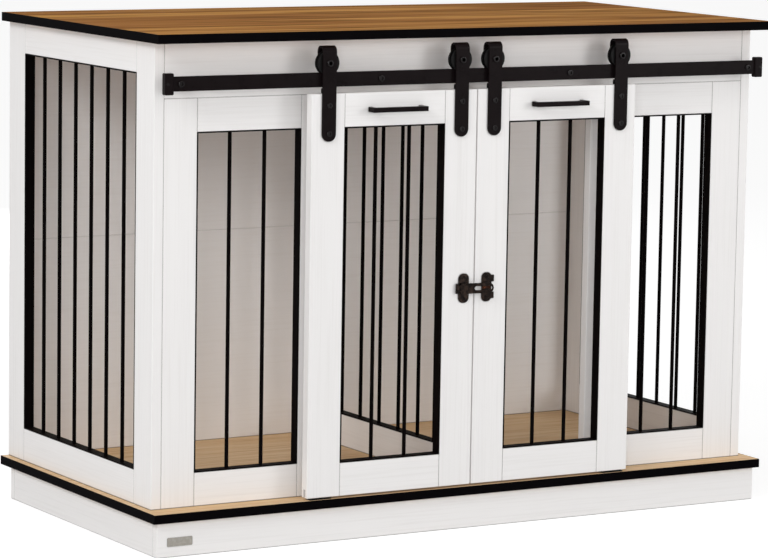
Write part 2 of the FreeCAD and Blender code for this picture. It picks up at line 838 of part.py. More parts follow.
def hasp_plate():
    """Make the plate on the left door, with a rolled knuckle above and one below the arm's own."""
    body = new_body("hasp_plate")
    half_height = size.latch_plate_height / 2
    knuckle_start = size.hasp_knuckle_height / 2 + size.hasp_knuckle_gap
    back = hasp_pin_standoff
    outline = new_sketch(body, "XZ_Plane", -back)
    draw_rounded_rectangle(
        outline, hasp_pin_offset, hasp_pin_offset + size.hasp_plate_width, -half_height, half_height,
        size.hasp_plate_width * LATCH_CORNER_SHARE,
    )
    ease_edges(body, pad(body, outline, size.latch_plate_thickness), size.hardware_ease)
    radius = size.hasp_knuckle_diameter / 2
    for low in (knuckle_start, -knuckle_start - size.hasp_plate_knuckle_height):
        strip = new_sketch(body, "XY_Plane", low)
        draw_rectangle(strip, zero, hasp_pin_offset + radius, back - size.latch_plate_thickness, back)
        pad(body, strip, size.hasp_plate_knuckle_height)
        knuckle = new_sketch(body, "XY_Plane", low)
        draw_circle(knuckle, zero, zero, size.hasp_knuckle_diameter)
        pad(body, knuckle, size.hasp_plate_knuckle_height)
    bore = new_sketch(body, "XY_Plane", -half_height)
    draw_circle(bore, zero, zero, pin_hole)
    pocket(body, bore, size.latch_plate_height, reverse=True)
    place(body, hasp_pin_x, hasp_pin_y, size.latch_height)
    return keep(body)


def hasp_pin():
    """Make the upright pin of the hasp."""
    body = new_body("hasp_pin")
    half_length = size.hasp_knuckle_height / 2 + size.hasp_knuckle_gap + size.hasp_plate_knuckle_height
    outline = new_sketch(body, "XY_Plane", -half_length)
    draw_circle(outline, zero, zero, size.hasp_pin_diameter)
    pad(body, outline, half_length * 2)
    place(body, hasp_pin_x, hasp_pin_y, size.latch_height)
    return keep(body)


def hasp_arm():
    """Make the slotted arm with its bevelled boss, lifted off the knob by its rest angle."""
    body = new_body("hasp_arm")
    half_height = size.hasp_arm_height / 2
    tip_centre = slot_end + size.hasp_tip_wall - half_height
    leaf = new_sketch(body, "XZ_Plane", -size.hasp_arm_thickness / 2)
    leaf_start = size.hasp_knuckle_diameter / 2 + size.hasp_knuckle_gap
    shoulder = leaf_start + size.hasp_shoulder
    neck = size.hasp_knuckle_height / 2
    draw_loop(leaf, [
        Corner(zero, -neck),
        Corner(leaf_start, -neck),
        Corner(shoulder, -half_height),
        Corner(tip_centre, -half_height, (tip_centre, zero)),
        Corner(tip_centre, half_height),
        Corner(shoulder, half_height),
        Corner(leaf_start, neck),
        Corner(zero, neck),
    ])
    pad(body, leaf, size.hasp_arm_thickness)
    boss = new_sketch(body, "XZ_Plane", size.hasp_arm_thickness / 2)
    draw_circle(boss, size.hasp_boss_distance, zero, size.hasp_boss_diameter)
    pad(body, boss, size.hasp_boss_height, taper=BOSS_TAPER)
    knuckle = new_sketch(body, "XY_Plane", -neck)
    draw_circle(knuckle, zero, zero, size.hasp_knuckle_diameter)
    pad(body, knuckle, size.hasp_knuckle_height)
    bore = new_sketch(body, "XY_Plane", -neck)
    draw_circle(bore, zero, zero, pin_hole)
    pocket(body, bore, size.hasp_knuckle_height, reverse=True)
    slot = new_sketch(body, "XZ_Plane", -size.hasp_arm_thickness / 2)
    draw_level_slot(slot, slot_end - size.hasp_slot_length, slot_end, slot_height)
    pocket(body, slot, size.hasp_arm_thickness, reverse=True)
    place(body, hasp_pin_x, hasp_pin_y, size.latch_height, -size.hasp_lift_angle.number)
    body.setExpression("Placement.Rotation.Angle", (-size.hasp_lift_angle).formula)
    return keep(body)


def staple_plate():
    """Make the plate on the right door, with two ears and the hole that the knob turns in."""
    body = new_body("staple_plate")
    half_height = size.latch_plate_height / 2
    plate_edge = size.staple_plate_width / 2
    outline = new_sketch(body, "XZ_Plane")
    corner = size.staple_plate_width * LATCH_CORNER_SHARE
    draw_rounded_rectangle(outline, -plate_edge, plate_edge, -half_height, half_height, corner)
    ease_edges(body, pad(body, outline, size.latch_plate_thickness), size.hardware_ease)
    for level in (size.staple_ear_spacing / 2, -size.staple_ear_spacing / 2):
        ear = new_sketch(body, "XZ_Plane")
        draw_rectangle(
            ear, zero, plate_edge + size.staple_ear_width,
            level - size.staple_ear_height / 2, level + size.staple_ear_height / 2,
        )
        pad(body, ear, size.latch_plate_thickness)
    hole = new_sketch(body, "XZ_Plane")
    draw_circle(hole, zero, zero, size.knob_neck_diameter + size.axle_running_clearance * 2)
    pocket(body, hole, size.latch_plate_thickness, reverse=True)
    place(body, knob_x, door_front, size.latch_height)
    return keep(body)


def turn_knob():
    """Make the knob: a round neck and a lever head with rounded edges that passes through the arm's slot."""
    body = new_body("turn_knob")
    neck = new_sketch(body, "XZ_Plane", size.knob_base_gap)
    draw_circle(neck, zero, zero, size.knob_neck_diameter)
    arm_front = hasp_pin_standoff + size.hasp_arm_thickness / 2
    neck_length = arm_front + size.knob_arm_clearance - size.knob_base_gap
    pad(body, neck, neck_length + size.knob_head_height / 2)
    head = new_sketch(body, "XZ_Plane", size.knob_base_gap + neck_length)
    draw_level_slot(head, -size.knob_head_reach, knob_short_side, size.knob_head_width)
    round_front(body, pad(body, head, size.knob_head_height), size.knob_head_width * KNOB_ROUND_SHARE)
    place(body, knob_x, door_front, size.latch_height)
    return keep(body)


banded_board("floor", size.plinth_height)
banded_board("top", top_level)
plinth()
cabinet_walls()
track()
group("floor_guides", [floor_guide("left_floor_guide", -1), floor_guide("right_floor_guide", 1)])
door("left", -1)
door("right", 1)
hasp_plate()
hasp_pin()
hasp_arm()
staple_plate()
turn_knob()
doc.recompute()

failed = [item.Label for item in doc.Objects if "Invalid" in item.State or "Error" in item.State]
if failed:
    raise RuntimeError(f"these objects failed: {failed}")
for node in nodes:
    if node.Shape.isNull() or not node.Shape.isValid() or not node.Shape.Solids:
        raise RuntimeError(f"{node.Label} has no valid solid")
os.makedirs("parts", exist_ok=True)
for node in nodes:
    node.Shape.exportStep(f"parts/{node.Label}.step")
print(f"{len(nodes)} nodes written, door travel {door_travel.number:.2f} mm")
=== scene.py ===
"""Dresses the pet crate: board and metal finishes, fasteners, small fittings, a plain studio and the camera.

A length in a class is in millimetres unless the class says otherwise; MM turns it into the frame's metres.
"""
import logging
import math
from abc import ABC, abstractmethod
from dataclasses import dataclass, field
from enum import Enum
from typing import Callable, Iterable, Sequence

import bmesh
import bpy
from mathutils import Matrix, Vector


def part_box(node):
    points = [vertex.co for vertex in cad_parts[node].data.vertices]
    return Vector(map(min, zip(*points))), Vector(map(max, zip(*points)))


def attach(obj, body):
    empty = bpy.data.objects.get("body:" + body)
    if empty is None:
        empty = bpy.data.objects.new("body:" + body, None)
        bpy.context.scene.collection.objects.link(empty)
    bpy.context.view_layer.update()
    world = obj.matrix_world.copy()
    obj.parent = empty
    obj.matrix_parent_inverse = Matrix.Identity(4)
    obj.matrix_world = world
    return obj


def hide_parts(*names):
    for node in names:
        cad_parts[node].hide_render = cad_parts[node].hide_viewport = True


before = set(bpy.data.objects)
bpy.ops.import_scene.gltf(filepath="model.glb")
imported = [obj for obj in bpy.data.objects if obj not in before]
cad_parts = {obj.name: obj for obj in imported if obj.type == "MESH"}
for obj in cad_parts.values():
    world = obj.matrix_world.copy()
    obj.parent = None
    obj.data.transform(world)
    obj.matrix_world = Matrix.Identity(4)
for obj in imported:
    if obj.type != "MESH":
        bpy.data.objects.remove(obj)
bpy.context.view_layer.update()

MM = 0.001
PER_METRE = 1000.0
FRAME_WIDTH_PX = 768
# The grey that painted shade pulls the board colour towards in joints and inside corners.
CREVICE_SHADE_GREY = "#4c4845"
# The numbers of the colour sockets of a Mix node, whose names repeat.
MIX_SHARE = 0
MIX_FIRST = 6
MIX_SECOND = 7
MIX_COLOUR = 2
# The numbers of the float sockets of a Random Value node, whose names repeat.
RANDOM_MOST = 3
RANDOM_FLOAT = 1
# How far round a head's rim, as shares of a quarter turn, its rounding has a ring.
RIM_STEPS = (0.15, 0.45, 0.75, 1.0)
LOG = logging.getLogger("pet_crate")


class Axis(Enum):
    """A direction of the frame, as the index of its coordinate."""

    X = 0
    Y = 1
    Z = 2


class Facing(Enum):
    """The way a fastener's head points, as the Euler turn from the -Y that it is drawn with."""

    FRONT = (0.0, 0.0, 0.0)
    BACK = (0.0, 0.0, math.pi)
    UP = (-math.pi / 2, 0.0, 0.0)


class Recess(Enum):
    """The driver recess in a fastener's head."""

    HEXAGON = "hexagon"
    CROSS = "cross"


class Side(Enum):
    """A side of the crate seen from the front, with the sign of its X."""

    LEFT = -1
    RIGHT = 1

    @property
    def word(self) -> str:
        """The side's name as node names write it."""
        return self.name.lower()


def linear(hex_colour: str) -> tuple[float, float, float, float]:
    """Turn an sRGB hex colour into linear RGBA.

    Args:
        hex_colour: The colour as six hex digits after a hash sign.

    Returns:
        The linear red, green and blue, and an alpha of one.
    """
    channels = [int(hex_colour[start:start + 2], 16) / 255 for start in (1, 3, 5)]
    red, green, blue = [c / 12.92 if c <= 0.04045 else ((c + 0.055) / 1.055) ** 2.4 for c in channels]
    return red, green, blue, 1.0


def add_node(
    tree: bpy.types.NodeTree, kind: str, inputs: dict | None = None, **settings: object,
) -> bpy.types.Node:
    """Add a node to a tree with its settings, constant inputs and links.

    Args:
        tree: The tree that gets the node.
        kind: The node's type name.
        inputs: For each input socket's name or number, a constant or the output socket to link.
        settings: Attributes of the node.

    Returns:
        The new node.
    """
    node = tree.nodes.new(kind)
    for name, value in settings.items():
        setattr(node, name, value)
    for key, value in (inputs or {}).items():
        if isinstance(value, bpy.types.NodeSocket):
            tree.links.new(value, node.inputs[key])
        else:
            node.inputs[key].default_value = value
    return node


@dataclass(frozen=True)
class Finish(ABC):
    """A surface finish that makes its material once and keeps it under its name."""

    name: str

    def material(self) -> bpy.types.Material:
        """Give the finish's material, making it on first use.

        Returns:
            The material.
        """
        known = bpy.data.materials.get(self.name)
        if known:
            return known
        made = bpy.data.materials.new(self.name)
        made.use_nodes = True
        made.node_tree.nodes.clear()
        shader = self.shade(made.node_tree)
        add_node(made.node_tree, "ShaderNodeOutputMaterial", {"Surface": shader.outputs["BSDF"]})
        return made

    @abstractmethod
    def shade(self, tree: bpy.types.NodeTree) -> bpy.types.Node:
        """Build the finish's shader.

        Args:
            tree: The material's tree.

        Returns:
            The shader node.
        """


@dataclass(frozen=True)
class GrainedLaminate(Finish):
    """Melamine foil pressed on particle board: a printed grain with an embossed, satin surface.

    The eye sees long soft streaks along the grain, a slow change of tone across it, a gloss that the streaks
    break up, and a thin grey line of painted shade where two boards meet and in inside corners.
    """

    grain: Axis
    base: str
    dark: str
    light: str
    streak_mm: float
    figure_mm: float
    stretch: float
    contrast: float
    roughness: float
    emboss_mm: float
    shine: float = 0.3
    wave_mm: float = 6.0
    wave_length_mm: float = 420.0
    # joint_mm and joint_shade set the reach and the strength of the painted shade in joints and inside
    # corners.
    joint_mm: float = 2.5
    joint_shade: float = 0.62
    figure_stretch_share: float = 0.6

    def stretched(
        self, tree: bpy.types.NodeTree, place: bpy.types.NodeSocket, stretch: float,
    ) -> bpy.types.NodeSocket:
        """Squeeze object coordinates along the grain so that a pattern on them is drawn out.

        Args:
            tree: The material's tree.
            place: The coordinates to squeeze.
            stretch: How many times longer than wide the pattern becomes.

        Returns:
            The mapped coordinates' socket.
        """
        scale = [1.0, 1.0, 1.0]
        scale[self.grain.value] = 1 / stretch
        return add_node(tree, "ShaderNodeMapping", {"Vector": place, "Scale": scale}).outputs["Vector"]

    def shade(self, tree: bpy.types.NodeTree) -> bpy.types.Node:
        """Mix the streaks and the figure into colour, gloss and emboss.

        Args:
            tree: The material's tree.

        Returns:
            The shader node.
        """
        place = add_node(tree, "ShaderNodeTexCoord").outputs["Object"]
        # A slow wave bends the streaks a little, as in sliced veneer.
        sway = add_node(tree, "ShaderNodeTexNoise", {
            "Vector": place, "Scale": PER_METRE / self.wave_length_mm, "Detail": 1.0,
        })
        centred = add_node(tree, "ShaderNodeVectorMath", {0: sway.outputs["Color"], 1: (0.5, 0.5, 0.5)},
                           operation="SUBTRACT")
        swayed = add_node(tree, "ShaderNodeVectorMath", {
            0: centred.outputs["Vector"], 1: [self.wave_mm * MM] * 3, 2: place,
        }, operation="MULTIPLY_ADD").outputs["Vector"]
        streaks = add_node(tree, "ShaderNodeTexNoise", {
            "Vector": self.stretched(tree, swayed, self.stretch), "Scale": PER_METRE / self.streak_mm,
            "Detail": 3.0, "Roughness": 0.6,
        })
        figure = add_node(tree, "ShaderNodeTexNoise", {
            "Vector": self.stretched(tree, swayed, self.stretch * self.figure_stretch_share),
            "Scale": PER_METRE / self.figure_mm, "Detail": 4.0, "Roughness": 0.55,
        })
        darkness = add_node(tree, "ShaderNodeMapRange", {
            "Value": streaks.outputs["Fac"], "From Min": 0.48, "From Max": 0.72, "To Max": self.contrast,
        })
        lightness = add_node(tree, "ShaderNodeMapRange", {
            "Value": figure.outputs["Fac"], "From Min": 0.42, "From Max": 0.68, "To Max": self.contrast,
        })
        toned = add_node(tree, "ShaderNodeMix", {
            MIX_SHARE: lightness.outputs["Result"],
            MIX_FIRST: linear(self.base), MIX_SECOND: linear(self.light),
        }, data_type="RGBA")
        colour = add_node(tree, "ShaderNodeMix", {
            MIX_SHARE: darkness.outputs["Result"],
            MIX_FIRST: toned.outputs[MIX_COLOUR], MIX_SECOND: linear(self.dark),
        }, data_type="RGBA")
        gloss = add_node(tree, "ShaderNodeMapRange", {
            "Value": streaks.outputs["Fac"], "From Min": 0.3, "From Max": 0.7,
            "To Min": self.roughness - 0.05, "To Max": self.roughness + 0.08,
        })
        emboss = add_node(tree, "ShaderNodeBump", {
            "Height": streaks.outputs["Fac"], "Strength": 0.5, "Distance": self.emboss_mm * MM,
        })
        # Painted shade: wherever the ambient-occlusion test finds the surface hemmed in, in the narrow
        # joints between boards and in inside corners, the colour darkens towards a grey.
        openness = add_node(tree, "ShaderNodeAmbientOcclusion", {"Distance": self.joint_mm * MM}, samples=6)
        joint = add_node(tree, "ShaderNodeMapRange", {
            "Value": openness.outputs["AO"], "From Min": 0.45, "From Max": 0.95,
            "To Min": self.joint_shade, "To Max": 0.0,
        })
        shaded = add_node(tree, "ShaderNodeMix", {
            MIX_SHARE: joint.outputs["Result"],
            MIX_FIRST: colour.outputs[MIX_COLOUR], MIX_SECOND: linear(CREVICE_SHADE_GREY),
        }, data_type="RGBA")
        return add_node(tree, "ShaderNodeBsdfPrincipled", {
            "Base Color": shaded.outputs[MIX_COLOUR], "Roughness": gloss.outputs["Result"],
            "Normal": emboss.outputs["Normal"], "IOR": 1.5, "Specular IOR Level": self.shine,
        })


@dataclass(frozen=True)
class GrittyCoat(Finish):
    """A dark skin with a fine texture: powder coat or oxide on steel, or the surface of moulded plastic.

    The eye sees a near-black satin whose highlights are softened and very slightly mottled.
    """

    base: str
    mottled: str
    grit_mm: float
    roughness: float
    depth_mm: float
    mottle_mm: float = 24.0
    shine: float = 0.1

    def shade(self, tree: bpy.types.NodeTree) -> bpy.types.Node:
        """Mix the mottling into colour and gloss, and raise the grit.

        Args:
            tree: The material's tree.

        Returns:
            The shader node.
        """
        place = add_node(tree, "ShaderNodeTexCoord").outputs["Object"]
        mottle = add_node(tree, "ShaderNodeTexNoise", {
            "Vector": place, "Scale": PER_METRE / self.mottle_mm, "Detail": 3.0,
        })
        grit = add_node(tree, "ShaderNodeTexNoise", {
            "Vector": place, "Scale": PER_METRE / self.grit_mm, "Detail": 2.0,
        })
        colour = add_node(tree, "ShaderNodeMix", {
            MIX_SHARE: mottle.outputs["Fac"], MIX_FIRST: linear(self.base), MIX_SECOND: linear(self.mottled),
        }, data_type="RGBA")
        gloss = add_node(tree, "ShaderNodeMapRange", {
            "Value": mottle.outputs["Fac"], "From Min": 0.3, "From Max": 0.7,
            "To Min": self.roughness - 0.05, "To Max": self.roughness + 0.06,
        })
        peel = add_node(tree, "ShaderNodeBump", {
            "Height": grit.outputs["Fac"], "Strength": 0.35, "Distance": self.depth_mm * MM,
        })
        return add_node(tree, "ShaderNodeBsdfPrincipled", {
            "Base Color": colour.outputs[MIX_COLOUR], "Roughness": gloss.outputs["Result"],
            "Normal": peel.outputs["Normal"], "IOR": 1.5, "Specular IOR Level": self.shine,
        })


@dataclass(frozen=True)
class RubbedMetal(Finish):
    """Lacquered or plated metal that is rubbed lighter in patches.

    The eye sees a satin metal with soft lighter spots, as where hands have worn it.
    """

    base: str
    rubbed: str
    rub_mm: float
    roughness: float
    metallic: float
    shine: float = 0.5
    dent_mm: float = 0.3

    def shade(self, tree: bpy.types.NodeTree) -> bpy.types.Node:
        """Mix the rubbed tone in by patch, with shallow dents.

        Args:
            tree: The material's tree.

        Returns:
            The shader node.
        """
        place = add_node(tree, "ShaderNodeTexCoord").outputs["Object"]
        patches = add_node(tree, "ShaderNodeTexNoise", {
            "Vector": place, "Scale": PER_METRE / self.rub_mm, "Detail": 4.0, "Roughness": 0.6,
        })
        worn = add_node(tree, "ShaderNodeMapRange", {
            "Value": patches.outputs["Fac"], "From Min": 0.45, "From Max": 0.75,
        })
        colour = add_node(tree, "ShaderNodeMix", {
            MIX_SHARE: worn.outputs["Result"], MIX_FIRST: linear(self.base), MIX_SECOND: linear(self.rubbed),
        }, data_type="RGBA")
        gloss = add_node(tree, "ShaderNodeMapRange", {
            "Value": patches.outputs["Fac"], "To Min": self.roughness + 0.1, "To Max": self.roughness - 0.08,
        })
        dents = add_node(tree, "ShaderNodeBump", {
            "Height": patches.outputs["Fac"], "Strength": 0.25, "Distance": self.dent_mm * MM,
        })
        return add_node(tree, "ShaderNodeBsdfPrincipled", {
            "Base Color": colour.outputs[MIX_COLOUR], "Roughness": gloss.outputs["Result"],
            "Normal": dents.outputs["Normal"], "Metallic": self.metallic, "Specular IOR Level": self.shine,
        })


def white_laminate(name: str, grain: Axis) -> GrainedLaminate:
    """Give the white board finish with its grain along an axis.

    Args:
        name: The material's name.
        grain: The axis that the streaks follow.

    Returns:
        The finish.
    """
    return GrainedLaminate(
        name=name, grain=grain, base="#f2f0ef", dark="#e6e3e1", light="#f7f5f4", streak_mm=3.2,
        figure_mm=42.0, stretch=60.0, contrast=0.4, roughness=0.5, emboss_mm=0.08,
    )


WHITE_UPRIGHT = white_laminate("white_melamine_upright_grain", Axis.Z)
WHITE_LEVEL = white_laminate("white_melamine_level_grain", Axis.X)
WHITE_SIDE = white_laminate("white_melamine_side_grain", Axis.Y)
# The back boards carry a warmer white foil with a fainter grain and softer painted shade in its joints; its
# white is set lighter than the front boards' to lighten the shaded inside of the cabinet, which is painted
# light.
BACK_FOIL = GrainedLaminate(
    name="warm_white_backing_foil", grain=Axis.X, base="#f6f3f1", dark="#ebe6e1", light="#f9f6f4",
    streak_mm=3.6, figure_mm=60.0, stretch=40.0, contrast=0.25, roughness=0.55, emboss_mm=0.03,
    joint_shade=0.25,
)
BROWN_TOP = GrainedLaminate(
    name="brown_walnut_foil", grain=Axis.X, base="#9c6731", dark="#563314", light="#cb944e", streak_mm=19.0,
    figure_mm=70.0, stretch=20.0, contrast=1.0, roughness=0.6, emboss_mm=0.2, shine=0.004, wave_mm=22.0,
    wave_length_mm=520.0,
)
OAK_FLOOR = GrainedLaminate(
    name="light_oak_foil", grain=Axis.X, base="#dcba8f", dark="#c1986b", light="#e8cca8", streak_mm=8.0,
    figure_mm=46.0, stretch=26.0, contrast=0.75, roughness=0.55, emboss_mm=0.15, shine=0.1, wave_mm=14.0,
)
EDGE_BANDING = GrittyCoat(
    name="black_pvc_edge_band", base="#070607", mottled="#0d0b0d", grit_mm=0.8, roughness=0.4, depth_mm=0.03,
    shine=0.004,
)
POWDER_COAT = GrittyCoat(
    name="black_powder_coated_steel", base="#110c0d", mottled="#191314", grit_mm=0.7, roughness=0.3,
    depth_mm=0.015, shine=0.035,
)
BOLT_STEEL = GrittyCoat(
    name="black_oxide_bolt_steel", base="#0f0b0c", mottled="#181314", grit_mm=0.9, roughness=0.22,
    depth_mm=0.006, shine=0.16,
)
BAR_COAT = GrittyCoat(
    name="black_powder_coated_bars", base="#080606", mottled="#0f0b0b", grit_mm=0.7, roughness=0.45,
    depth_mm=0.008, shine=0.008,
)
NYLON = GrittyCoat(
    name="black_moulded_nylon", base="#0b0b0b", mottled="#121111", grit_mm=1.1, roughness=0.5, depth_mm=0.04,
)
BRONZE = RubbedMetal(
    name="dark_bronze_lacquered_steel", base="#181311", rubbed="#40332c", rub_mm=7.0, roughness=0.27,
    metallic=0.6, shine=0.12,
)
KNOB_BRONZE = RubbedMetal(
    name="red_bronze_lacquered_knob", base="#24130c", rubbed="#6a3a22", rub_mm=6.0, roughness=0.3,
    metallic=0.7, shine=0.2,
)
ZINC = RubbedMetal(
    name="satin_zinc_plate", base="#9a968e", rubbed="#aca8a0", rub_mm=5.0, roughness=0.4, metallic=0.6,
)


def dress(node: str, finish: Finish) -> None:
    """Give a carried-over node its finish.

    Args:
        node: The node's name.
        finish: The finish that it wears.
    """
    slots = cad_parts[node].data.materials
    slots.clear()
    slots.append(finish.material())
    LOG.info("%s wears %s", node, finish.name)


def settle(
    piece: bpy.types.Object, body: str, finish: Finish, replaced: Sequence[str] = (),
) -> None:
    """Finish a new piece: its material, the body it rides on and the nodes it stands for.

    Args:
        piece: The piece, at the origin with its place in its mesh.
        body: The body that carries it.
        finish: The finish that it wears.
        replaced: The nodes that it stands for.
    """
    piece.data.materials.clear()
    piece.data.materials.append(finish.material())
    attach(piece, body)
    if replaced:
        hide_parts(*replaced)
    LOG.info("%s rides on %s with %d faces", piece.name, body, len(piece.data.polygons))


def mesh_object(name: str, form: bmesh.types.BMesh, smooth: bool = False) -> bpy.types.Object:
    """Turn a finished bmesh into a linked object at the origin.

    Args:
        name: The object's name.
        form: The shape, freed afterwards.
        smooth: Whether its faces shade smoothly.

    Returns:
        The new object.
    """
    bmesh.ops.recalc_face_normals(form, faces=form.faces)
    for face in form.faces:
        face.smooth = smooth
    mesh = bpy.data.meshes.new(name)
    form.to_mesh(mesh)
    form.free()
    piece = bpy.data.objects.new(name, mesh)
    bpy.context.scene.collection.objects.link(piece)
    return piece


def middle_of(node: str) -> Vector:
    """Give the middle of a node's box, in metres."""
    low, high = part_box(node)
    return (low + high) / 2


@dataclass(frozen=True)
class TurnedFastener:
    """A screw or bolt about the Y axis: its seat is at zero, its head towards -Y, its shank towards +Y."""

    head_diameter: float
    head_height: float
    shank_diameter: float
    grip: float
    recess: Recess
    nut_height: float = 0.0
    nut_across: float = 0.0
    dome_share: float = 0.55
    recess_share: float = 0.3
    recess_depth_share: float = 0.7
    recess_taper: float = 0.9
    cross_core_share: float = 0.3
    cross_sharpness: int = 5
    steps: int = 36

    def recess_radius(self, angle: float) -> float:
        """Give the radius of the recess's outline.

        Args:
            angle: The angle about the axis, in radians.

        Returns:
            The radius in millimetres.
        """
        reach = self.head_diameter * self.recess_share
        if self.recess is Recess.HEXAGON:
            sixth = math.pi / 3
            return reach * math.cos(sixth / 2) / math.cos((angle % sixth) - sixth / 2)
        arm = abs(math.cos(2 * angle)) ** self.cross_sharpness
        return reach * (self.cross_core_share + (1 - self.cross_core_share) * arm)

    def nut_radius(self, angle: float) -> float:
        """Give the hexagon nut's radius at an angle, in millimetres."""
        sixth = math.pi / 3
        return self.nut_across / 2 / math.cos((angle % sixth) - sixth / 2)

    def rings(self) -> list[tuple[Callable[[float], float], float]]:
        """List the outline's rings, from the recess's floor to the shank's end.

        Returns:
            For each ring, its radius as a function of the angle and its place along the axis.
        """
        head = self.head_diameter / 2
        top = -self.head_height
        rim = self.head_height * self.dome_share
        recess_floor = top + self.head_height * self.recess_depth_share
        listed: list[tuple[Callable[[float], float], float]] = [
            (lambda angle: self.recess_radius(angle) * self.recess_taper, recess_floor),
            (self.recess_radius, top),
        ]
        for share in RIM_STEPS:
            turn = share * math.pi / 2
            radius = head - rim * (1 - math.sin(turn))
            listed.append((lambda angle, r=radius: r, top + rim * (1 - math.cos(turn))))
        listed.append((lambda angle: head, 0.0))
        listed.append((lambda angle: self.shank_diameter / 2, 0.0))
        listed.append((lambda angle: self.shank_diameter / 2, self.grip))
        if self.nut_height:
            listed.append((self.nut_radius, self.grip))
            listed.append((self.nut_radius, self.grip + self.nut_height))
        return listed

    def build(self, name: str) -> bpy.types.Object:
        """Make the fastener's mesh.

        Args:
            name: The object's name.

        Returns:
            The linked object, at the origin.
        """
        form = bmesh.new()
        loops = []
        for radius, place in self.rings():
            angles = [step * math.tau / self.steps for step in range(self.steps)]
            loops.append([
                form.verts.new((radius(a) * math.cos(a) * MM, place * MM, radius(a) * math.sin(a) * MM))
                for a in angles
            ])
        for first, second in zip(loops, loops[1:]):
            for step in range(self.steps):
                after = (step + 1) % self.steps
                form.faces.new((first[step], first[after], second[after], second[step]))
        form.faces.new(loops[0])
        form.faces.new(loops[-1])
        return mesh_object(name, form)


class FastenerRows:
    """Sets many copies of a fastener on points with one geometry node tree."""

    SEED = 7

    def __init__(self) -> None:
        """Build the tree that all rows share."""
        self.tree = bpy.data.node_groups.new("fastener_rows", "GeometryNodeTree")
        sockets = self.tree.interface
        sockets.new_socket("Geometry", in_out="OUTPUT", socket_type="NodeSocketGeometry")
        self.inputs = {
            label: sockets.new_socket(label, in_out="INPUT", socket_type=f"NodeSocket{kind}")
            for label, kind in (("Points", "Geometry"), ("Fastener", "Object"), ("Facing", "Vector"),
                                ("Turn spread", "Float"), ("Finish", "Material"))
        }
        given = add_node(self.tree, "NodeGroupInput").outputs
        copied = add_node(self.tree, "GeometryNodeObjectInfo", {"Object": given["Fastener"]})
        turned = add_node(self.tree, "FunctionNodeRandomValue", {
            "Min": 0.0, RANDOM_MOST: given["Turn spread"], "Seed": self.SEED,
        })
        about_axis = add_node(self.tree, "ShaderNodeCombineXYZ", {"Y": turned.outputs[RANDOM_FLOAT]})
        rows = add_node(self.tree, "GeometryNodeInstanceOnPoints", {
            "Points": given["Points"], "Instance": copied.outputs["Geometry"], "Rotation": given["Facing"],
        })
        spun = add_node(self.tree, "GeometryNodeRotateInstances", {
            "Instances": rows.outputs["Instances"], "Rotation": about_axis.outputs["Vector"],
        })
        real = add_node(self.tree, "GeometryNodeRealizeInstances", {"Geometry": spun.outputs["Instances"]})
        finished = add_node(self.tree, "GeometryNodeSetMaterial", {
            "Geometry": real.outputs["Geometry"], "Material": given["Finish"],
        })
        add_node(self.tree, "NodeGroupOutput", {"Geometry": finished.outputs["Geometry"]})

    def build(
        self, name: str, fastener: TurnedFastener, places: Iterable[Vector], facing: Facing, finish: Finish,
    ) -> bpy.types.Object:
        """Make one mesh of fasteners at places.

        Args:
            name: The piece's name.
            fastener: The fastener to copy.
            places: The seats' places, in metres.
            facing: The way the heads point.
            finish: The fasteners' finish.

        Returns:
            The piece, a plain mesh at the origin.
        """
        pattern = fastener.build(f"{name}_pattern")
        points = bpy.data.meshes.new(f"{name}_points")
        points.from_pydata([tuple(place) for place in places], [], [])
        holder = bpy.data.objects.new(f"{name}_holder", points)
        bpy.context.scene.collection.objects.link(holder)
        rows = holder.modifiers.new("rows", "NODES")
        rows.node_group = self.tree
        rows[self.inputs["Fastener"].identifier] = pattern
        rows[self.inputs["Facing"].identifier] = facing.value
        rows[self.inputs["Turn spread"].identifier] = math.pi / 2
        rows[self.inputs["Finish"].identifier] = finish.material()
        seen = holder.evaluated_get(bpy.context.evaluated_depsgraph_get())
        mesh = bpy.data.meshes.new_from_object(seen)
        mesh.name = name
        holder.modifiers.remove(rows)
        bpy.data.objects.remove(holder)
        bpy.data.objects.remove(pattern)
        piece = bpy.data.objects.new(name, mesh)
        bpy.context.scene.collection.objects.link(piece)
        return piece


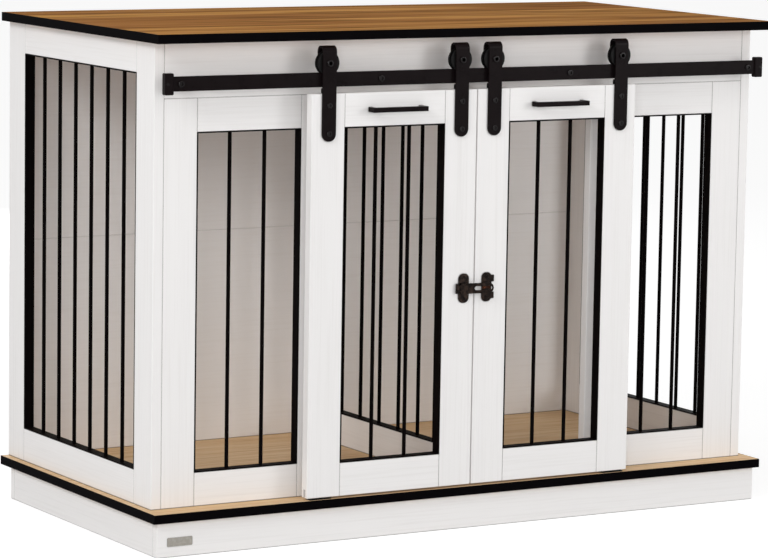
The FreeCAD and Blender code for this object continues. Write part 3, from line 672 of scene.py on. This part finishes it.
@dataclass
class Carcass:
    """The boards of the cabinet, their grilles and the screws that hold the back."""

    back_screw: TurnedFastener = TurnedFastener(7.0, 0.5, 3.0, 12.0, Recess.CROSS, dome_share=0.9)
    back_screw_inset: float = 9.0
    back_screw_pitch: float = 185.0
    board_finishes: dict[str, Finish] = field(default_factory=lambda: {
        "top_board": BROWN_TOP, "floor_board": OAK_FLOOR, "top_edge_band": EDGE_BANDING,
        "floor_edge_band": EDGE_BANDING, "plinth_front": WHITE_LEVEL, "plinth_back": WHITE_LEVEL,
        "plinth_ends": WHITE_SIDE, "plinth_crossbar": WHITE_SIDE, "header_rail": WHITE_LEVEL,
        "back_panel_lower": BACK_FOIL, "back_panel_upper": BACK_FOIL, "divider_rails": WHITE_SIDE,
        "left_side_rails": WHITE_SIDE, "right_side_rails": WHITE_SIDE, "left_front_rails": WHITE_LEVEL,
        "right_front_rails": WHITE_LEVEL,
    })
    framed_walls: tuple[str, ...] = ("left_side", "right_side", "left_front", "right_front", "divider")

    def dress(self) -> None:
        """Give every board and grille its finish."""
        for node, finish in self.board_finishes.items():
            dress(node, finish)
        for wall in self.framed_walls:
            dress(f"{wall}_stiles", WHITE_UPRIGHT)
            dress(f"{wall}_grille", BAR_COAT)

    def back_screw_places(self) -> list[Vector]:
        """List the screws' seats along the edges of the two back boards.

        Returns:
            The places in metres.
        """
        places = []
        for node in ("back_panel_lower", "back_panel_upper"):
            low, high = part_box(node)
            inset = self.back_screw_inset * MM
            left, right, bottom, top = low.x + inset, high.x - inset, low.z + inset, high.z - inset
            along = max(2, round((right - left) / (self.back_screw_pitch * MM)))
            up = max(2, round((top - bottom) / (self.back_screw_pitch * MM)))
            for step in range(along + 1):
                x = left + (right - left) * step / along
                places += [Vector((x, high.y, bottom)), Vector((x, high.y, top))]
            for step in range(1, up):
                z = bottom + (top - bottom) * step / up
                places += [Vector((left, high.y, z)), Vector((right, high.y, z))]
        return places

    def build(self, rows: FastenerRows) -> None:
        """Add the back screws.

        Args:
            rows: The tree that sets fasteners on points.
        """
        screws = rows.build("back_screws", self.back_screw, self.back_screw_places(), Facing.BACK, ZINC)
        settle(screws, "cabinet", ZINC)


@dataclass
class BarePlate:
    """The small bare plate on the front of the plinth."""

    width: float = 46.0
    height: float = 14.5
    thickness: float = 0.8
    corner: float = 1.0
    corner_segments: int = 4
    rim_share: float = 1 / 3
    rim_segments: int = 2
    left_edge: float = -573.0
    centre_height: float = 25.0

    def build(self) -> None:
        """Make the plate with eased corners, seated on the plinth's front."""
        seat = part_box("plinth_front")[0].y
        form = bmesh.new()
        bmesh.ops.create_cube(form, size=1.0)
        size = Vector((self.width, self.thickness, self.height)) * MM
        bmesh.ops.scale(form, vec=size, verts=form.verts)
        upright = [e for e in form.edges if abs(e.verts[0].co.y - e.verts[1].co.y) > size.y / 2]
        bmesh.ops.bevel(form, geom=upright, offset=self.corner * MM, segments=self.corner_segments,
                         affect="EDGES")
        front = [e for e in form.edges if all(v.co.y < 0 for v in e.verts) and len(e.link_faces) == 2]
        bmesh.ops.bevel(form, geom=front, offset=self.thickness * self.rim_share * MM,
                         segments=self.rim_segments, affect="EDGES")
        place = Vector(((self.left_edge + self.width / 2) * MM, seat - size.y / 2, self.centre_height * MM))
        bmesh.ops.translate(form, vec=place, verts=form.verts)
        settle(mesh_object("bare_plate", form), "cabinet", ZINC)


@dataclass
class Track:
    """The flat track with its bolts, sleeves and end stops."""

    bolt: TurnedFastener = TurnedFastener(11.0, 3.0, 6.0, 49.5, Recess.HEXAGON)
    bolt_count: int = 4
    set_screw: TurnedFastener = TurnedFastener(5.0, 0.6, 3.0, 2.0, Recess.HEXAGON)

    def dress(self) -> None:
        """Give the track's own nodes their finish."""
        for node in ("track_bar", "track_spacers", "track_end_stops"):
            dress(node, POWDER_COAT)
        dress("floor_guides", NYLON)

    def build(self, rows: FastenerRows) -> None:
        """Add the socket-head bolts and the set screws of the end stops.

        Args:
            rows: The tree that sets fasteners on points.
        """
        low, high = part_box("track_bolts")
        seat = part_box("track_bar")[0].y
        level = middle_of("track_bolts").z
        first = low.x + self.bolt.head_diameter / 2 * MM
        last = high.x - self.bolt.head_diameter / 2 * MM
        pitch = (last - first) / (self.bolt_count - 1)
        places = [Vector((first + pitch * index, seat, level)) for index in range(self.bolt_count)]
        bolts = rows.build("track_socket_bolts", self.bolt, places, Facing.FRONT, BOLT_STEEL)
        settle(bolts, "cabinet", BOLT_STEEL, ["track_bolts"])
        stop_low, stop_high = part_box("track_end_stops")
        inset = self.set_screw.head_diameter * MM
        places = [Vector((x, stop_low.y, level)) for x in (stop_low.x + inset, stop_high.x - inset)]
        screws = rows.build("end_stop_screws", self.set_screw, places, Facing.FRONT, BOLT_STEEL)
        settle(screws, "cabinet", BOLT_STEEL)


@dataclass
class BarnDoor:
    """One sliding door with its grille, handle, hangers and rollers."""

    side: Side
    strap_bolt: TurnedFastener = TurnedFastener(10.0, 2.0, 6.0, 21.0, Recess.HEXAGON, 3.0, 9.0)
    axle_bolt: TurnedFastener = TurnedFastener(12.0, 3.0, 8.0, 20.0, Recess.HEXAGON, 5.0, 11.0)
    disc_screw: TurnedFastener = TurnedFastener(7.0, 0.4, 3.0, 3.0, Recess.CROSS, dome_share=0.9)

    @property
    def name(self) -> str:
        """The door's name, which starts its nodes' names."""
        return f"{self.side.word}_door"

    def dress(self) -> None:
        """Give the door's nodes their finish."""
        dress(f"{self.name}_stiles", WHITE_UPRIGHT)
        dress(f"{self.name}_top_rail", WHITE_LEVEL)
        dress(f"{self.name}_bottom_rail", WHITE_LEVEL)
        dress(f"{self.name}_grille", BAR_COAT)
        for part in ("handle", "hangers"):
            dress(f"{self.name}_{part}", POWDER_COAT)
        for part in ("discs", "inner_roller", "outer_roller"):
            dress(f"{self.name}_{part}", NYLON)

    def corner_places(self, node: str, head: float, seat: float) -> list[Vector]:
        """List the seats of bolts that stand at the corners of their node's box.

        Args:
            node: The node that groups the bolts.
            head: The heads' diameter in millimetres.
            seat: The Y of the face that the heads seat on, in metres.

        Returns:
            The places, without repeats where the bolts stand in one row.
        """
        low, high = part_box(node)
        half = head / 2 * MM
        levels = {round(z, 6) for z in (low.z + half, high.z - half)}
        return [Vector((x, seat, z)) for x in (low.x + half, high.x - half) for z in sorted(levels)]

    def build(self, rows: FastenerRows) -> None:
        """Add the door's strap bolts, axle bolts and disc screws.

        Args:
            rows: The tree that sets fasteners on points.
        """
        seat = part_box(f"{self.name}_hangers")[0].y
        for part, fastener in (("hanger_bolts", self.strap_bolt), ("axles", self.axle_bolt)):
            node = f"{self.name}_{part}"
            places = self.corner_places(node, fastener.head_diameter, seat)
            bolts = rows.build(f"{node}_with_sockets", fastener, places, Facing.FRONT, BOLT_STEEL)
            settle(bolts, self.name, BOLT_STEEL, [node])
        low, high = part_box(f"{self.name}_discs")
        radius = (high.y - low.y) / 2
        places = [Vector((x, low.y + radius, high.z)) for x in (low.x + radius, high.x - radius)]
        screws = rows.build(f"{self.name}_disc_screws", self.disc_screw, places, Facing.UP, ZINC)
        settle(screws, self.name, ZINC)


@dataclass
class Latch:
    """The hasp on the left door and the turn knob on the right one."""

    screw: TurnedFastener = TurnedFastener(7.0, 1.0, 3.0, 8.0, Recess.CROSS, dome_share=0.9)
    screw_inset: float = 6.5
    hasp_plate_width: float = 20.5
    staple_plate_width: float = 19.5

    def dress(self) -> None:
        """Give the latch's nodes their finish."""
        for node in ("hasp_plate", "hasp_pin", "hasp_arm", "staple_plate"):
            dress(node, BRONZE)
        dress("turn_knob", KNOB_BRONZE)

    def build(self, rows: FastenerRows) -> None:
        """Add two screws to each plate.

        Args:
            rows: The tree that sets fasteners on points.
        """
        spots = {
            "left_door": ("hasp_plate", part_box("hasp_plate")[1].x - self.hasp_plate_width / 2 * MM),
            "right_door": ("staple_plate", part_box("staple_plate")[0].x + self.staple_plate_width / 2 * MM),
        }
        for body, (plate, x) in spots.items():
            low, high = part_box(plate)
            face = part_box("staple_plate")[0].y
            inset = self.screw_inset * MM
            places = [Vector((x, face, z)) for z in (low.z + inset, high.z - inset)]
            screws = rows.build(f"{plate}_screws", self.screw, places, Facing.FRONT, BRONZE)
            settle(screws, body, BRONZE)


@dataclass(frozen=True)
class Softbox:
    """A square area light that looks at a point; lengths are in metres."""

    name: str
    place: tuple[float, float, float]
    aim: tuple[float, float, float]
    width: float
    watts: float

    def build(self) -> None:
        """Add the light."""
        lamp = bpy.data.lights.new(self.name, "AREA")
        lamp.shape = "SQUARE"
        lamp.size = self.width
        lamp.energy = self.watts
        holder = bpy.data.objects.new(self.name, lamp)
        direction = Vector(self.aim) - Vector(self.place)
        turn = direction.to_track_quat("-Z", "Y").to_matrix()
        holder.matrix_world = Matrix.Translation(self.place) @ turn.to_4x4()
        bpy.context.scene.collection.objects.link(holder)


@dataclass
class Studio:
    """The plain white floor, the even surround and the softboxes; lengths are in metres."""

    floor_size: float = 40.0
    ambient: float = 0.56
    floor_glow: float = 0.66
    floor_albedo: float = 0.5
    bounce_albedo: float = 0.66
    softboxes: tuple[Softbox, ...] = (
        Softbox("key_softbox", (-4.3, -1.7, 3.2), (0.0, 0.0, 0.45), 1.6, 86.0),
        Softbox("front_softbox", (-2.1, -3.3, 1.2), (-0.3, 0.0, 0.5), 1.4, 20.0),
        Softbox("right_softbox", (2.4, -3.0, 1.3), (0.4, 0.0, 0.55), 1.2, 33.0),
        Softbox("back_softbox", (0.6, 4.4, 0.5), (0.0, 0.0, 0.45), 0.6, 50.0),
    )

    def seen_ray(self, tree: bpy.types.NodeTree) -> bpy.types.NodeSocket:
        """Give a socket that is one for camera, glossy and transmission rays.

        Args:
            tree: The tree that gets the nodes.

        Returns:
            The socket.
        """
        path = add_node(tree, "ShaderNodeLightPath").outputs
        either = add_node(tree, "ShaderNodeMath", {0: path["Is Camera Ray"], 1: path["Is Glossy Ray"]},
                          operation="MAXIMUM")
        return add_node(tree, "ShaderNodeMath", {0: either.outputs[0], 1: path["Is Transmission Ray"]},
                        operation="MAXIMUM").outputs[0]

    def build_world(self) -> None:
        """Light the object evenly and show white to the camera."""
        world = bpy.data.worlds.new("studio_surround")
        world.use_nodes = True
        tree = world.node_tree
        tree.nodes.clear()
        strength = add_node(tree, "ShaderNodeMapRange", {
            "Value": self.seen_ray(tree), "To Min": self.ambient,
        })
        surround = add_node(tree, "ShaderNodeBackground", {
            "Color": linear("#ffffff"), "Strength": strength.outputs["Result"],
        })
        add_node(tree, "ShaderNodeOutputWorld", {"Surface": surround.outputs["Background"]})
        bpy.context.scene.world = world

    def build_floor(self) -> None:
        """Lay the floor: a white paper sweep that keeps the object's shadow."""
        form = bmesh.new()
        bmesh.ops.create_grid(form, x_segments=1, y_segments=1, size=self.floor_size / 2)
        floor = mesh_object("studio_floor", form)
        paper = bpy.data.materials.new("white_paper_floor")
        paper.use_nodes = True
        tree = paper.node_tree
        tree.nodes.clear()
        seen = self.seen_ray(tree)
        glow_strength = add_node(tree, "ShaderNodeMath", {0: seen, 1: self.floor_glow}, operation="MULTIPLY")
        glow = add_node(tree, "ShaderNodeEmission", {"Strength": glow_strength.outputs[0]})
        albedo = add_node(tree, "ShaderNodeMapRange", {
            "Value": seen, "To Min": self.bounce_albedo, "To Max": self.floor_albedo,
        })
        matt = add_node(tree, "ShaderNodeBsdfDiffuse", {"Color": albedo.outputs["Result"]})
        both = add_node(tree, "ShaderNodeAddShader", {0: glow.outputs[0], 1: matt.outputs[0]})
        add_node(tree, "ShaderNodeOutputMaterial", {"Surface": both.outputs[0]})
        floor.data.materials.append(paper)

    def build(self) -> None:
        """Build the surround, the floor and the lights."""
        self.build_world()
        self.build_floor()
        for softbox in self.softboxes:
            softbox.build()


@dataclass
class PhotoCamera:
    """The camera that sees the crate as the photograph does.

    Angles are in degrees, the focal length in the photograph's pixels and the far clip in metres.
    """

    place: tuple[float, float, float] = (-3258.59, -5573.05, 1250.65)
    yaw: float = 30.294
    pitch: float = 7.593
    roll: float = 0.935
    focal_px: float = 3714.19
    sensor: float = 36.0
    far_clip: float = 100.0

    def build(self) -> None:
        """Add the camera and make it the scene's own."""
        yaw, pitch, roll = (math.radians(angle) for angle in (self.yaw, self.pitch, self.roll))
        ahead = Vector((math.sin(yaw) * math.cos(pitch), math.cos(yaw) * math.cos(pitch), -math.sin(pitch)))
        level = Vector((math.cos(yaw), -math.sin(yaw), 0.0))
        upright = level.cross(ahead)
        right = level * math.cos(roll) + upright * math.sin(roll)
        up = upright * math.cos(roll) - level * math.sin(roll)
        lens = bpy.data.cameras.new("photo_camera")
        lens.sensor_width = self.sensor
        lens.lens = self.focal_px * self.sensor / FRAME_WIDTH_PX
        lens.clip_end = self.far_clip
        camera = bpy.data.objects.new("photo_camera", lens)
        turn = Matrix((right, up, -ahead)).transposed()
        camera.matrix_world = Matrix.Translation(Vector(self.place) * MM) @ turn.to_4x4()
        bpy.context.scene.collection.objects.link(camera)
        bpy.context.scene.camera = camera


def main() -> None:
    """Dress the frame, add the small pieces and set up the studio and the camera."""
    logging.basicConfig(level=logging.INFO, format="%(name)s: %(message)s")
    bpy.context.scene.view_settings.view_transform = "Standard"
    rows = FastenerRows()
    for assembly in (Carcass(), Track(), BarnDoor(Side.LEFT), BarnDoor(Side.RIGHT), Latch()):
        assembly.dress()
        assembly.build(rows)
    BarePlate().build()
    Studio().build()
    PhotoCamera().build()


if __name__ == "__main__":
    main()
